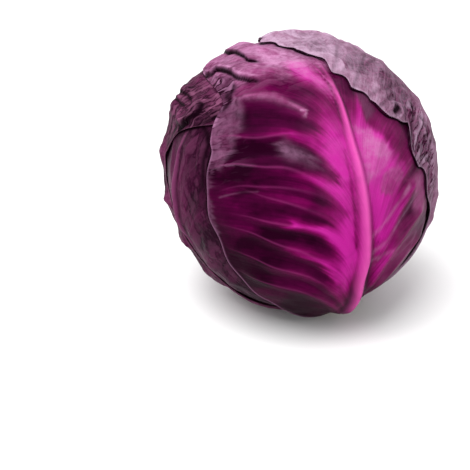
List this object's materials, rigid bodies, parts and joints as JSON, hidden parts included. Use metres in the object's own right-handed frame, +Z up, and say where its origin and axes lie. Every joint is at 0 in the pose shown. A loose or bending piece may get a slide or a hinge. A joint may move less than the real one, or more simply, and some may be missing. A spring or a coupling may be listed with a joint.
{
  "type": "cabbage head",
  "caption": "Round red cabbage head with overlapping wrapper leaves, a raised midrib and a trimmed stump, leaning a little and resting on a small flat spot.",
  "frame": {"origin": "centre of the flat spot the head rests on, under the middle of the head", "axes": "+Z up from the rest spot, -Y to the front leaf's side, +X to the right as seen from the front; the stump leans 17 degrees from straight down, to +X and a little to -Y"},
  "size_m": [0.162, 0.161, 0.1621],
  "materials": {
    "stem": "cut pale stump flesh",
    "heart": "packed leaf, satin",
    "back_leaf": "waxy leaf with bloom",
    "left_leaf": "waxy dark leaf",
    "cap_leaf": "crinkled leaf with bloom",
    "front_leaf": "smooth leaf, satin, bright veins",
    "crown_leaf": "leaf with heavy pale bloom"
  },
  "bodies": {
    "root": {"stem": "stem", "heart": "heart", "back_leaf": "back_leaf", "left_leaf": "left_leaf", "cap_leaf": "cap_leaf", "front_leaf": "front_leaf", "crown_leaf": "crown_leaf"}
  },
  "joints": []
}
